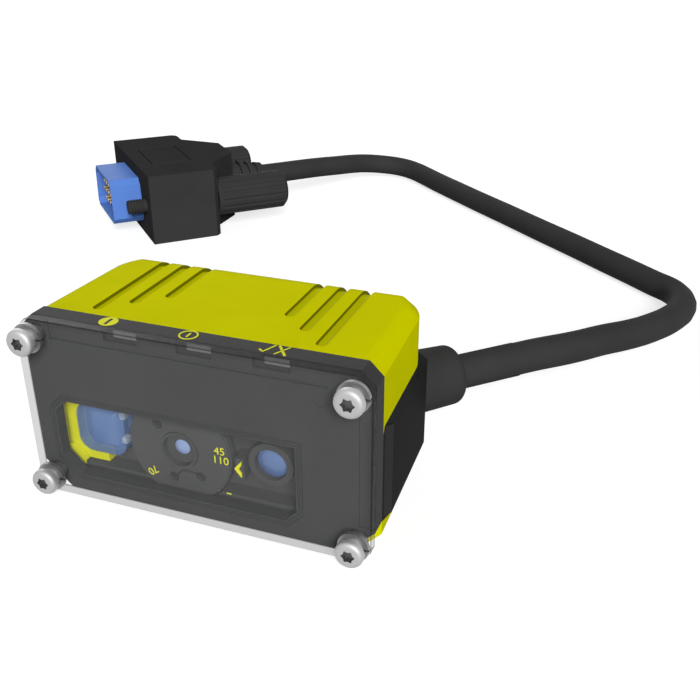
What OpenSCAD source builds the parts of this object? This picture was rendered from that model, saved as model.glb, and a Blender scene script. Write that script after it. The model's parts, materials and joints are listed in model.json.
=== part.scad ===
// Fixed-mount barcode reader with its lead and plug.
// Millimetres. +Z up from the base, the window faces -Y, +X is the right seen from the front.

/* [Body] */
// Width across the front
body_w = 43.5; // [41:0.5:48]
// Height from base to top
body_h = 23.5; // [23:0.5:27]
// Depth from bezel front to rear face
body_d = 23.2; // [22:0.2:27]
// Chamfer along the long edges
edge_ch = 1.6; // [1:0.1:2]
// Inward draft of both sides in degrees
side_draft = 2.4; // [0.6:0.2:4]
// Housing wall thickness
wall = 1.6; // [1.4:0.1:2]
// Height where the cap meets the tray
split_z = 15.7; // [15:0.1:17]
// Depth of the front frame of the cap
frame_d = 3.9; // [3.9:0.1:4.6]
// Radius of the two rear corners seen from above
corner_r = 7; // [5:0.5:7]
// Radius of the rear top edge
rear_r = 4.6; // [3:0.2:5]
// Height of the frame bar under the optics
bar_h = 2; // [1.8:0.1:2.4]

/* [Top grooves] */
// Width of each groove
groove_w = 1.3; // [0.8:0.1:1.8]
// Depth of each groove
groove_depth = 0.45; // [0.2:0.05:0.6]
// Distance from the middle to the first groove
groove_x = 7.8; // [5:0.1:9]
// Distance between grooves
groove_pitch = 3.1; // [2.2:0.1:3.6]
// Front end of the outer groove behind the frame front
groove_start = 1.3; // [0.8:0.1:3]
// How far each inner groove starts behind the next
groove_step = 2.9; // [1:0.1:4]

/* [Front] */
// Thickness of the clear window
window_t = 1.4; // [1:0.1:2]
// Depth of the bezel with its skirt
bezel_t = 2.3; // [2.2:0.1:3]
// Thickness of the bezel panel
panel_t = 1.45; // [1.2:0.05:1.6]
// Cut across the two lower bezel corners
bezel_cut = 3.4; // [2.6:0.1:3.8]
// Depth of the sunk strips in the bezel
rim_depth = 0.3; // [0.2:0.05:0.4]
// Viewing aperture in from the left side
aperture_in = 2.75; // [2.6:0.05:3.4]
// Width of the viewing aperture
aperture_w = 31.3; // [30.5:0.1:32.5]
// Lower edge of the viewing aperture
aperture_low = 2.3; // [2.2:0.1:3]
// Upper edge of the viewing aperture
aperture_high = 12.4; // [11.5:0.1:14]
// Lower edge of the sunk strip along the top
line_z = 20.6; // [18:0.1:20.8]
// Distance between light pipes
pipe_pitch = 9.3; // [6:0.1:10]
// Place of the middle light pipe
pipe_x = 1.2; // [-2:0.1:3]
// Width of a light pipe
pipe_w = 2.9; // [1.6:0.1:3]

/* [Cover screws] */
// Screw centre in from the side of the front
screw_in_x = 1.95; // [1.9:0.05:2.4]
// Screw centre in from top and base
screw_in_z = 2.3; // [2.1:0.05:2.6]
// Thread diameter
screw_d = 2; // [1.6:0.1:2.2]
// Head diameter
head_d = 3.5; // [3:0.1:3.6]
// Head height
head_h = 1.7; // [1.2:0.1:2]
// Lock washer thickness
washer_t = 0.5; // [0.3:0.1:0.6]
// Screw length under the head
screw_len = 7.6; // [6:0.1:7.8]

/* [Optics] */
// Height of the optical axis
axis_z = 7.6; // [7.4:0.1:8]
// Centre of the illumination lens in from the left side
lamp_in = 6.95; // [6.8:0.05:7.2]
// Distance from the illumination lens to the camera lens
lens_pitch = 11.4; // [11.2:0.1:12]
// Distance from the camera lens to the aiming light
aimer_pitch = 11.5; // [11.3:0.1:12]
// Focus dial diameter
dial_d = 13.6; // [11:0.1:13.8]
// Focus dial thickness
dial_t = 1; // [0.8:0.1:1.2]
// Lens barrel diameter inside the dial
barrel_d = 4.9; // [4.6:0.1:5.4]
// Wall of the lens barrel round its sunk front
barrel_wall = 0.35; // [0.3:0.05:0.6]
// Camera lens diameter
lens_d = 2; // [1.6:0.1:2.4]
// Width of the illumination lens
lamp_w = 6.8; // [5.6:0.1:7]
// Height of the illumination lens
lamp_h = 6.8; // [5.6:0.1:7.2]
// Aiming light ring diameter
aimer_d = 5.7; // [5:0.1:6]
// Aiming lens diameter
aimer_lens_d = 4; // [3:0.1:4.2]

/* [Cable block] */
// How far before the rear face the sloped face starts
block_lead = 0.5; // [0:0.1:1]
// Length of the sloped face
block_face = 9.4; // [9:0.1:11]
// Underside of the block
block_low = 1.6; // [1.6:0.1:3]
// Top of the block
block_high = 13.9; // [13:0.1:14.5]
// Height of the gland axis
gland_z = 8.1; // [7.4:0.1:8.6]
// Gland diameter at the block
gland_d = 8.6; // [7.8:0.1:9]
// Gland length outside the block
gland_len = 7.1; // [6:0.1:8]
// Diameter of the cord sleeve
sleeve_d = 4.8; // [4.6:0.1:5]
// Length of the sleeve outside the block
sleeve_len = 16.8; // [15:0.2:18]
// Diameter of the cord
cord_d = 4.7; // [3.6:0.1:4.7]

/* [Base mounts] */
// Distance between the two threaded holes
mount_pitch = 27; // [24:0.5:28]
// Hole centres behind the bezel front
mount_y = 12; // [11:0.5:13]
// Hole diameter before threading
mount_d = 2.5; // [2:0.1:3.3]
// Depth of the threaded holes
mount_depth = 5; // [4:0.5:5.5]

/* [Plug] */
// Width of the hood
hood_w = 34.4; // [32:0.2:38]
// Thickness of the hood
hood_h = 14.7; // [13:0.1:16]
// Length of the full-width part
hood_len = 15; // [13:0.5:16]
// Length to the end of the shoulders
shoulder_len = 22; // [20:0.5:23]
// Length to the end of the boot
boot_len = 30.5; // [28:0.5:32]
// Width of the plug shell
shell_w = 17.9; // [17.6:0.1:18.4]
// Height of the plug shell
shell_h = 9.4; // [9:0.1:9.8]
// How far the shell stands out
shell_out = 6.4; // [5:0.1:6.8]
// Distance between the thumbscrews
thumb_pitch = 25; // [24.6:0.1:25.2]
// Thumbscrew knob diameter
knob_d = 8.2; // [6:0.1:8.4]
// Length to the end of the thumbscrew knobs
knob_len = 31.4; // [29:0.2:33]
// Thumbscrew thread diameter
thumb_thread_d = 2.84; // [2.6:0.02:3]
// How far the thread stands out
thumb_out = 3.9; // [3.5:0.1:5.5]

/* [Hidden] */
$fn = 48;
eps = 0.01;
fit = 0.05;
gap = 0.3;
half_w = body_w / 2;
frame_y = bezel_t;
tray_y = frame_y + frame_d;
front_out = window_t + washer_t + head_h;
draft_rate = tan(side_draft);
edge_past = 3;
corner_y = body_d - corner_r;
corner_x = side_x(corner_y) - corner_r;
screw_x = half_w - screw_in_x;
screw_zs = [screw_in_z, body_h - screw_in_z];
post_r = 2.2;
pilot_r = screw_d / 2 + fit;
clear_r = screw_d / 2 + 0.1;
head_r = 1;
inner_x = half_w - wall;
aperture_left = aperture_in - half_w;
aperture_right = aperture_left + aperture_w;
aperture_cut = 1.5;
aperture_corner = 2.3;
rim_edge = 0.4;
rim_left = 3.5;
rim_right = 5.4;
rim_side = 1.95;
rim_down = 5.7;
mark_in = 6.3;
mark_low = 1.1;
mark_down = 4.5;
mark_r = 0.8;
mark_depth = 0.1;
lamp_x = lamp_in - half_w;
lens_x = lamp_x + lens_pitch;
aimer_x = lens_x + aimer_pitch;
roof_z = body_h - wall;
plate_t = 1;
lip_t = 0.8;
lip_w = 0.9;
plate_back = tray_y - lip_t;
plate_y = plate_back - plate_t;
dial_y = panel_t + gap;
dial_back = dial_y + dial_t;
dial_step = 0.2;
key_r = 4.1;
key_hole_r = 0.65;
relief_r = dial_d / 2 + gap;
barrel_front = panel_t + 0.1;
barrel_recess = 0.9;
lens_t = 1.3;
lens_back = barrel_front + 2;
pointer_x = lens_x + dial_d / 2 + 0.25;
pointer_z = axis_z - 1.1;
pointer_h = 1.1;
hub_r = barrel_d / 2 + 1.6;
holder_w = 10;
holder_h = 8.6;
holder_back = plate_back + 5.2;
lamp_front = dial_y + 0.8;
lamp_flange = 0.45;
lamp_r = 1.9;
lamp_room = 0.1;
shroud_y = dial_y + 1.25;
shroud_edge = 0.4;
shroud_past = 0.3;
shroud_low = bar_h + 0.75;
lamp_foot = 1;
lamp_board_y = plate_back + lip_t + lamp_foot;
aimer_front = lamp_front;
aimer_back = plate_back + 0.6;
pipe_xs = [pipe_x - pipe_pitch, pipe_x, pipe_x + pipe_pitch];
pipe_top = body_h - 0.4;
pipe_h = 1;
pipe_low = pipe_top - pipe_h;
pipe_front = 0.35;
pipe_head = 1.9;
neck_y = 1.2;
neck_drop = 0.6;
pocket_d = 0.9;
pipe_leg = pipe_low - neck_drop - 1.4;
led_h = 0.8;
strip_t = 0.8;
strip_low = pipe_leg - led_h - strip_t;
ear_t = 0.7;
ear_low = edge_ch + 0.1;
ear_rise = 1.7;
ear_lead = 0.45;
ear_drop = 1;
clip_t = 0.4;
clip_y = frame_y + 0.7;
clip_w = tray_y - clip_y - 0.2;
clip_slope = 1.4;
clip_low = ear_low + 0.5;
clip_high = split_z - 0.2;
tab_low = 6;
tab_high = 10;
tab_y = clip_y + 0.9;
tab_d = 1.2;
board_t = 1.2;
standoff = 3.4;
standoff_r = 1.8;
board_y = body_d - wall - standoff - board_t;
board_left = 3.15 - inner_x;
board_z = 8;
boss_r = 3.2;
insert_r = mount_d / 2 + 0.85;
seal_t = 0.35;
seal_w = 0.5;
seal_gap = 0.3;
gasket_h = 0.45;
gasket_in = 0.5;
gasket_out = 1.1;
block_side_y = body_d - block_lead;
block_x = side_x(block_side_y);
block_end = [block_x - block_face * cos(45), block_side_y + block_face * sin(45)];
gland_at = [block_x - block_face * cos(45) / 2, block_side_y + block_face * sin(45) / 2];
board_room = 6.6;
board_hole_in = [5, 8];
board_right = gland_at[0] - board_room;
board_xs = [board_left + board_hole_in[0], board_right - board_hole_in[1]];
board_screw_r = 0.8;
aimer_led_len = 3.4;
mid_y = (block_end[1] - front_out) / 2;
stem_r = sleeve_d / 2 + 0.6;
stem_len = 5;
gland_taper = 0.2;
gland_round = 1.3;
plug_at = [-67.5, 80, 0];
plug_turn = 45;
shoulder_w = 9.8;
shoulder_root = thumb_pitch - 1;
hood_corner = 1;
label_x = [3, 12];
label_w = 15;
label_line = 0.5;
label_depth = 0.3;
shell_t = 0.5;
shell_seat = 3;
shell_lean = 0.8;
shell_round = 1.2;
knob_gap = 0.2;
knob_room = 0.4;
knob_edge = 0.8;
knob_slot = 1;
knob_grooves = 16;
pin_r = 0.38;
pin_pitch = 2.29;
pin_row = 1.98;
boot_stem = 4;
boot_stem_r = 3;
thumb_bore_r = thumb_thread_d / 2 + fit;
boot_r1 = 4.4;
boot_r2 = 2.9;
cord_sides = 12;
along = [cos(45), sin(45), 0];
sleeve_end = [gland_at[0], gland_at[1] - mid_y, gland_z] + sleeve_len * along;
boot_end = [plug_at[0], plug_at[1], hood_h / 2] + boot_len * along;
route = concat([sleeve_end, sleeve_end + 3 * along], [
    [36.5, 32.5, 7.7], [40, 38, 6.9], [44, 44.5, 5.7], [47.2, 51, 4.6], [49.8, 57.5, 3.7],
    [51.2, 63, 3.1], [51.2, 68, 2.7], [49.5, 72.5, 2.5], [46, 76, 2.4], [42, 79.8, 2.4],
    [36, 85.3, 2.4], [29, 91.8, 2.4], [21, 99, 2.4], [13, 106.4, 2.4], [5, 113.6, 2.4],
    [-3, 121, 2.4], [-9, 126.6, 2.4], [-14, 131.3, 2.5], [-17, 133.5, 2.7], [-20.3, 134.7, 3],
    [-23.7, 134.7, 3.3], [-26.9, 133.4, 3.7], [-29.6, 131.1, 4.2], [-31.7, 128, 4.7],
    [-34.3, 122.1, 5.5], [-37, 116.1, 6.3], [-40, 109.6, 7]],
    [boot_end + 3 * along, boot_end]);

function side_x(y) = half_w - draft_rate * (y - frame_y);
function unit(v) = v / norm(v);
function tangent(i) = unit(route[min(i + 1, len(route) - 1)] - route[max(i - 1, 0)]);
function side_dir(t) = unit(cross([0, 0, 1], t));
function ring(i) =
    let (t = tangent(i), s = side_dir(t), u = cross(t, s))
    [for (k = [0 : cord_sides - 1])
        route[i] + cord_d / 2 * (cos(360 * k / cord_sides) * s + sin(360 * k / cord_sides) * u)];

// Places a piece drawn from the bezel front into the shared frame
module place() {
    translate([0, -mid_y, 0]) children();
}

// Stands a flat shape drawn in x and z up and gives it depth from y0 to y1
module slab(y0, y1) {
    translate([0, y1, 0]) rotate([90, 0, 0]) linear_extrude(y1 - y0) children();
}

module box(a, b) {
    translate(a) cube(b - a);
}

// Round bar along y
module rod(x, z, r, y0, y1) {
    translate([x, y1, z]) rotate([90, 0, 0]) cylinder(r = r, h = y1 - y0);
}

// Front view with one cut at the upper and another at the lower corners
module outline(high, low) {
    w = half_w;
    h = body_h;
    polygon([[low - w, 0], [w - low, 0], [w, low], [w, h - high], [w - high, h], [high - w, h],
        [-w, h - high], [-w, low]]);
}

module round_rect(w, h, r) {
    square([w - 2 * r, h], center = true);
    square([w, h - 2 * r], center = true);
    for (sx = [-1, 1], sy = [-1, 1])
        translate([sx * (w / 2 - r), sy * (h / 2 - r)]) circle(r);
}

module at_screws() {
    for (sx = [-1, 1], z = screw_zs)
        translate([sx * screw_x, 0, z]) children();
}

// Plan of the housing, moved in by an even amount
module plan(inset) {
    rear = body_d - inset;
    front = frame_y - (inset > 0 ? 1 : 0);
    xf = side_x(front) - inset;
    xr = side_x(rear) - inset;
    difference() {
        polygon([[-xf, front], [xf, front], [xr, rear], [-xr, rear]]);
        for (sx = [-1, 1])
            translate([sx * corner_x, corner_y]) difference() {
                translate([sx * corner_r, corner_r]) square(2 * corner_r, center = true);
                circle(corner_r - inset);
            }
    }
}

// Side view of the housing with the round rear top edge
module profile(inset) {
    r = rear_r - inset;
    top = body_h - inset;
    rear = body_d - inset;
    translate([0, inset]) square([rear - r, top - inset]);
    translate([0, inset]) square([rear, top - r - inset]);
    translate([rear - r, top - r]) circle(r);
}

module body_mass(inset) {
    intersection() {
        linear_extrude(body_h) plan(inset);
        rotate([90, 0, 90]) translate([0, 0, -half_w]) linear_extrude(body_w) profile(inset);
    }
}

// The whole housing as one block
module body_block() {
    side = edge_ch * sqrt(2);
    run = body_d + 2 * edge_past;
    difference() {
        body_mass(0);
        for (sx = [-1, 1], z = [0, body_h])
            translate([sx * half_w, frame_y, z]) rotate([0, 0, sx * side_draft])
                translate([0, run / 2 - edge_past, 0]) rotate([0, 45, 0])
                    cube([side, run, side], center = true);
        for (sx = [-1, 1])
            translate([sx * corner_x, corner_y, body_h - edge_ch]) difference() {
                translate([sx * corner_r, corner_r, edge_ch])
                    cube(2 * [corner_r, corner_r, edge_ch], center = true);
                cylinder(r1 = corner_r, r2 = corner_r - edge_ch, h = edge_ch);
            }
    }
}

// Draws a shape in y and z on one side, from depth t in the side to past it
module on_side(sx, t, past) {
    translate([sx > 0 ? half_w - t : -half_w - past, 0, 0]) rotate([90, 0, 90])
        linear_extrude(t + past) children();
}

// Aperture outline moved out by an even amount
module aperture(d) {
    right = aperture_right + d;
    left = aperture_left - d;
    low = aperture_low - d;
    high = aperture_high + d;
    small = aperture_cut + 0.586 * d;
    large = aperture_corner + 0.586 * d;
    polygon([[left + large, low], [right - small, low], [right, low + small], [right, high],
        [left + small, high], [left, high - small], [left, low + large]]);
}

module front_window() {
    color([0.85, 0.9, 0.93, 0.35]) place() difference() {
        slab(-window_t, 0) outline(edge_ch, edge_ch);
        at_screws() rod(0, 0, clear_r, -window_t - 1, 1);
    }
}

module window_seal() {
    color([0.05, 0.05, 0.05]) place() slab(0, seal_t) difference() {
        aperture(seal_gap + seal_w);
        aperture(seal_gap);
    }
}

module front_bezel() {
    color([0.2, 0.2, 0.2]) place() difference() {
        union() {
            slab(0, panel_t) outline(edge_ch, bezel_cut);
            difference() {
                slab(panel_t - eps, bezel_t) outline(edge_ch, bezel_cut);
                box([-inner_x, panel_t - 1, bar_h], [inner_x, bezel_t + 1, roof_z]);
            }
        }
        slab(-1, panel_t + 1) aperture(0);
        slab(-1, seal_t) difference() {
            aperture(seal_gap + seal_w + fit);
            aperture(seal_gap - fit);
        }
        rod(lens_x, axis_z, relief_r, panel_t, bezel_t + 1);
        at_screws() rod(0, 0, clear_r, -1, bezel_t + 1);
        box([rim_left - half_w, -1, line_z], [half_w - rim_right, rim_depth, body_h - rim_edge]);
        box([half_w - rim_side, -1, bezel_cut + gap], [half_w - rim_edge, rim_depth, body_h - rim_down]);
        for (x = pipe_xs) {
            box([x - pipe_w, -1, pipe_low - 0.7], [x + pipe_w / 2 + fit, pocket_d, pipe_top + fit]);
            pipe_path(x, fit);
        }
        for (z = [mark_low, body_h - mark_down])
            rod(half_w - mark_in, z, mark_r, -1, mark_depth);
    }
}

module cover_screws() {
    color([0.78, 0.78, 0.78]) place() at_screws() {
        head_front = -front_out;
        head_back = -window_t - washer_t;
        difference() {
            translate([0, head_back, 0]) rotate([90, 0, 0]) rotate_extrude() intersection() {
                square([head_d / 2, head_h]);
                union() {
                    square([head_d / 2, head_h - head_r]);
                    square([head_d / 2 - head_r, head_h]);
                    translate([head_d / 2 - head_r, head_h - head_r]) circle(head_r);
                }
            }
            slab(head_front - 1, head_front + 0.9) {
                circle(0.62);
                for (k = [0 : 5])
                    rotate(60 * k) translate([0.66, 0]) circle(0.22);
            }
        }
        rod(0, 0, screw_d / 2, head_back - eps, head_back + screw_len);
    }
}

module lock_washers() {
    color([0.6, 0.6, 0.6]) place() at_screws() difference() {
        rod(0, 0, head_d / 2 + 0.1, -window_t - washer_t, -window_t);
        rod(0, 0, clear_r, -window_t - 1, 1);
        box([0, -window_t - washer_t - 1, -0.15], [3, 1, 0.15]);
    }
}

// Head and neck of a light pipe, with room round them
module pipe_path(x, room) {
    w = pipe_w / 2 + room;
    box([x - w, pipe_front - room, pipe_low - room], [x + w, pipe_head + room, pipe_top + room]);
    box([x - w, neck_y - room, pipe_low - neck_drop - room],
        [x + w, plate_y - 0.2 + room, pipe_top - neck_drop + room]);
}

module light_pipe(x) {
    color([0.75, 0.78, 0.8]) place() {
        pipe_path(x, 0);
        box([x - pipe_w / 2, plate_y - 1.2, pipe_leg], [x + pipe_w / 2, plate_y - 0.2, pipe_low]);
    }
}

module light_pipe_left() {
    light_pipe(pipe_xs[0]);
}

module light_pipe_middle() {
    light_pipe(pipe_xs[1]);
}

module light_pipe_right() {
    light_pipe(pipe_xs[2]);
}

module indicator_board() {
    color([0.05, 0.3, 0.15]) place()
        box([pipe_xs[0] - 3, plate_y - 1.8, strip_low], [pipe_xs[2] + 3, plate_y, strip_low + strip_t]);
}

module indicator_leds() {
    color([0.9, 0.9, 0.8]) place() for (x = pipe_xs)
        box([x - 1, plate_y - 1.2, pipe_leg - led_h], [x + 1, plate_y - 0.2, pipe_leg]);
}

module upper_housing() {
    color([0.74, 0.74, 0]) place() difference() {
        intersection() {
            body_block();
            union() {
                box([-half_w, frame_y, split_z], [half_w, body_d, body_h]);
                box([-half_w, frame_y, 0], [half_w, tray_y, body_h]);
            }
        }
        difference() {
            union() {
                intersection() {
                    body_mass(wall);
                    box([-half_w, tray_y, 0], [half_w, body_d, body_h]);
                }
                box([-inner_x, frame_y - 1, bar_h], [inner_x, plate_back, roof_z]);
                box([lip_w - inner_x, frame_y, bar_h + lip_w],
                    [inner_x - lip_w, tray_y + eps, roof_z - lip_w]);
            }
            at_screws() rod(0, 0, post_r, frame_y, tray_y);
        }
        at_screws() rod(0, 0, pilot_r, frame_y - 1, tray_y + 1);
        rod(lens_x, axis_z, relief_r, frame_y - 1, dial_back + gap);
        for (x = pipe_xs) {
            pipe_path(x, fit);
            box([x - pipe_w / 2 - fit, plate_y - 1.3, roof_z - 1], [x + pipe_w / 2 + fit, plate_y, pipe_low]);
        }
        for (sx = [-1, 1]) {
            on_side(sx, ear_t + fit, 1) ear_shape(fit);
            on_side(sx, wall + 1, 1) tab_shape(fit);
        }
        difference() {
            for (sx = [-1, 1], i = [0 : 2]) {
                x = sx * (groove_x + i * groove_pitch);
                y0 = frame_y + groove_start + (2 - i) * groove_step + groove_w / 2;
                box([x - groove_w / 2, y0, split_z + 2], [x + groove_w / 2, body_d + 1, body_h + 1]);
                translate([x, y0, body_h - groove_depth]) cylinder(d = groove_w, h = 2);
            }
            rotate([90, 0, 90]) translate([0, 0, -half_w]) linear_extrude(body_w) profile(groove_depth);
        }
    }
}

// Side view of the tray's ear, which laps over the frame
module ear_shape(room) {
    rear = tray_y + 0.5;
    front = frame_y - room;
    polygon([[front, ear_low + ear_rise - room], [rear, ear_low - room], [rear, split_z],
        [front + ear_lead, split_z], [front, split_z - ear_drop]]);
}

// Side view of the clip that locks the ear
module clip_shape(room) {
    front = clip_y - room;
    rear = clip_y + clip_w + room;
    polygon([[front, clip_low + clip_slope - room], [rear, clip_low - room],
        [rear, clip_high - clip_slope + room], [front, clip_high + room]]);
}

module tab_shape(room) {
    translate([tab_y - room, tab_low - room]) square([tab_d, tab_high - tab_low] + 2 * [room, room]);
}

module side_clip(sx) {
    color([0.24, 0.24, 0.24]) place() {
        on_side(sx, clip_t, 0) clip_shape(0);
        intersection() {
            on_side(sx, wall, 0) tab_shape(0);
            box([clip_t / 2 - half_w, 0, 0], [half_w - clip_t / 2, body_d, body_h]);
        }
    }
}

module side_clip_left() {
    side_clip(-1);
}

module side_clip_right() {
    side_clip(1);
}

module cable_block() {
    translate([0, 0, block_low]) linear_extrude(block_high - block_low)
        polygon([[side_x(corner_y), corner_y], [block_x, block_side_y], block_end,
            [block_end[0] - 2, block_end[1]], [block_end[0] - 2, body_d - wall / 2],
            [corner_x, body_d - wall / 2]]);
}

module at_mounts() {
    for (sx = [-1, 1])
        translate([sx * mount_pitch / 2, mount_y, 0]) children();
}

// Turns a piece drawn along x to the gland axis
module at_gland() {
    translate([gland_at[0], gland_at[1], gland_z]) rotate([0, 0, 45]) rotate([0, 90, 0]) children();
}

module gasket_strip(room) {
    intersection() {
        linear_extrude(body_h) difference() {
            plan(gasket_in - room);
            plan(gasket_out + room);
        }
        box([-half_w, tray_y + 0.3 - room, split_z - gasket_h - room], [half_w, body_d, split_z]);
    }
}

module lower_housing() {
    color([0.14, 0.14, 0.14]) place() difference() {
        union() {
            difference() {
                union() {
                    intersection() {
                        body_block();
                        box([-half_w, tray_y, 0], [half_w, body_d, split_z]);
                    }
                    intersection() {
                        body_block();
                        for (sx = [-1, 1])
                            on_side(sx, ear_t, 0) ear_shape(0);
                    }
                    cable_block();
                }
                intersection() {
                    body_mass(wall);
                    box([-half_w, tray_y - 1, wall], [half_w, body_d, body_h]);
                }
                for (sx = [-1, 1]) {
                    on_side(sx, clip_t + fit, 1) clip_shape(fit);
                    on_side(sx, wall, 1) tab_shape(fit);
                }
            }
            at_mounts() cylinder(r = boss_r, h = mount_depth + 1.5);
            for (x = board_xs)
                rod(x, board_z, standoff_r, board_y + board_t, body_d - wall / 2);
        }
        at_mounts() translate([0, 0, -1]) cylinder(r = insert_r + fit, h = mount_depth + 1);
        for (x = board_xs)
            rod(x, board_z, board_screw_r + fit, board_y, body_d - wall + 0.2);
        at_gland() translate([0, 0, -stem_len - 4.4]) cylinder(r = stem_r + fit, h = stem_len + 5.4);
        gasket_strip(fit);
    }
}

module housing_gasket() {
    color([0.06, 0.06, 0.06]) place() gasket_strip(0);
}

module optics_plate() {
    color([0.16, 0.16, 0.16]) place() difference() {
        union() {
            box([0.1 - inner_x, plate_y, bar_h + 0.1], [inner_x - 0.1, plate_back, roof_z - 0.1]);
            box([0.1 - inner_x, frame_y, bar_h + 0.1], [inner_x - 0.1, plate_y + eps, bar_h + 0.6]);
            box([pointer_x - 0.05, dial_y + 0.4, pointer_z - pointer_h - 0.3],
                [pointer_x + 1.2, plate_y + eps, pointer_z + pointer_h + 0.3]);
        }
        at_screws() rod(0, 0, post_r + 0.1, 0, body_d);
        rod(lens_x, axis_z, relief_r, 0, dial_back + gap);
        rod(lens_x, axis_z, barrel_d / 2 + fit, 0, body_d);
        rod(aimer_x, axis_z, aimer_lens_d / 2 + 0.4 + fit, 0, body_d);
        translate([lamp_x, 0, axis_z]) slab(0, body_d) lamp_shape(lamp_room);
    }
}

module dial_pointer() {
    arm = pointer_h / 2;
    color([0.88, 0.88, 0.2]) place() translate([pointer_x, 0, pointer_z]) slab(dial_y + 0.2, dial_y + 0.4)
        polygon([[0, 0], [0.9, pointer_h], [0.9, arm], [0.5, 0], [0.9, -arm], [0.9, -pointer_h]]);
}

module focus_dial() {
    color([0.18, 0.18, 0.18]) place() difference() {
        translate([lens_x, dial_back, axis_z]) rotate([90, 0, 0]) {
            cylinder(d = dial_d, h = dial_t - dial_step);
            cylinder(d = dial_d - 2 * dial_step, h = dial_t);
        }
        rod(lens_x, axis_z, barrel_d / 2 + fit, 0, dial_back + 1);
        for (a = [131, -51, -105])
            rod(lens_x + key_r * cos(a), axis_z + key_r * sin(a), key_hole_r, 0, dial_y + 0.6);
    }
}

module lens_barrel() {
    color([0.1, 0.1, 0.1]) place() difference() {
        union() {
            rod(lens_x, axis_z, barrel_d / 2, barrel_front, plate_back + 2);
            rod(lens_x, axis_z, hub_r, dial_back + 0.1, plate_y);
        }
        rod(lens_x, axis_z, barrel_d / 2 - barrel_wall, 0, barrel_front + barrel_recess);
        rod(lens_x, axis_z, lens_d / 2 + fit, barrel_front, lens_back);
        rod(lens_x, axis_z, lens_d / 2 - 0.3, barrel_front, body_d);
    }
}

module camera_lens() {
    color([0.7, 0.82, 0.95]) place() translate([lens_x, lens_back, axis_z]) rotate([90, 0, 0])
        rotate_extrude() intersection() {
            square([lens_d / 2, lens_t]);
            translate([0, lens_t - lens_d]) circle(lens_d);
        }
}

module lens_holder() {
    color([0.12, 0.12, 0.12]) place() difference() {
        box([lens_x - holder_w / 2, plate_back, axis_z - holder_h / 2],
            [lens_x + holder_w / 2, holder_back, axis_z + holder_h / 2]);
        rod(lens_x, axis_z, barrel_d / 2 + fit, 0, plate_back + 2.2);
        rod(lens_x, axis_z, 1.6, 0, body_d);
        box([lens_x - 3, holder_back - 1.2, axis_z - 2.6], [lens_x + 3, body_d, axis_z + 2.6]);
    }
}

module sensor_board() {
    color([0.05, 0.3, 0.15]) place()
        box([lens_x - holder_w / 2, holder_back, axis_z - holder_h / 2],
            [lens_x + holder_w / 2, holder_back + 1, axis_z + holder_h / 2]);
}

module image_sensor() {
    color([0.3, 0.3, 0.36]) place()
        box([lens_x - 2.6, holder_back - 0.8, axis_z - 2.2], [lens_x + 2.6, holder_back, axis_z + 2.2]);
}

// Front view of the illumination lens, moved out by an even amount
module lamp_shape(d) {
    round_rect(lamp_w + 2 * d, lamp_h + 2 * d, lamp_r + d);
}

module illumination_lens() {
    color([0.5, 0.65, 0.85]) place() difference() {
        translate([lamp_x, 0, axis_z]) {
            slab(lamp_front, plate_back + eps) lamp_shape(0);
            slab(plate_back, plate_back + lip_t) lamp_shape(lamp_flange);
            for (sx = [-1, 1])
                box([sx * 3.2 - 0.6, plate_back + lip_t - eps, -2.5], [sx * 3.2 + 0.6, lamp_board_y, 2.5]);
        }
        translate([lamp_x, lamp_front - eps, axis_z]) slab(0, 0.4) square([4, 5.2], center = true);
    }
}

// Yellow frame that holds the illumination lens from the front
module light_shroud() {
    left = 0.15 - inner_x;
    right = lamp_x + shroud_past;
    high = axis_z + lamp_h / 2 + lamp_room + shroud_edge;
    color([0.74, 0.74, 0]) place() difference() {
        box([left, shroud_y, shroud_low], [right, plate_y, high]);
        translate([lamp_x, 0, axis_z]) slab(0, body_d) lamp_shape(lamp_room);
        at_screws() rod(0, 0, post_r + 0.1, 0, body_d);
    }
}

module illumination_board() {
    color([0.05, 0.3, 0.15]) place()
        box([lamp_x - 4, lamp_board_y, axis_z - 3.4], [lamp_x + 4, lamp_board_y + 0.8, axis_z + 3.4]);
}

module illumination_led() {
    color([0.95, 0.95, 0.85]) place()
        box([lamp_x - 1.5, lamp_board_y - 0.8, axis_z - 1.5], [lamp_x + 1.5, lamp_board_y, axis_z + 1.5]);
}

module aimer_ring() {
    color([0.12, 0.12, 0.12]) place() difference() {
        union() {
            rod(aimer_x, axis_z, aimer_d / 2, aimer_front, plate_y);
            rod(aimer_x, axis_z, aimer_lens_d / 2 + 0.4, plate_y - eps, aimer_back);
        }
        rod(aimer_x, axis_z, aimer_lens_d / 2 + fit, 0, plate_y - 0.4);
        rod(aimer_x, axis_z, aimer_lens_d / 2 - 0.4, 0, body_d);
    }
}

module aimer_lens() {
    color([0.5, 0.65, 0.85]) place() translate([aimer_x, plate_y - 0.4, axis_z]) rotate([90, 0, 0])
        rotate_extrude() intersection() {
            square([aimer_lens_d / 2, 1.2]);
            translate([0, 1.2 - aimer_lens_d]) circle(aimer_lens_d);
        }
}

module aimer_led() {
    color([0.7, 0.7, 0.72]) place()
        rod(aimer_x, axis_z, aimer_lens_d / 2 + 0.4, aimer_back, aimer_back + aimer_led_len);
}

module main_board() {
    color([0.05, 0.3, 0.15]) place() difference() {
        box([board_left, board_y, 3], [board_right, board_y + board_t, split_z - 1]);
        for (x = board_xs)
            rod(x, board_z, board_screw_r + 0.1, 0, body_d);
    }
}

module board_screws() {
    color([0.75, 0.75, 0.75]) place() for (x = board_xs) {
        rod(x, board_z, 1.5, board_y - 1, board_y);
        rod(x, board_z, board_screw_r, board_y - eps, board_y + board_t + standoff - 0.8);
    }
}

module mount_inserts() {
    color([0.72, 0.57, 0.25]) place() at_mounts() difference() {
        cylinder(r = insert_r, h = mount_depth);
        translate([0, 0, -1]) cylinder(d = mount_d, h = mount_depth + 2);
    }
}

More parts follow.
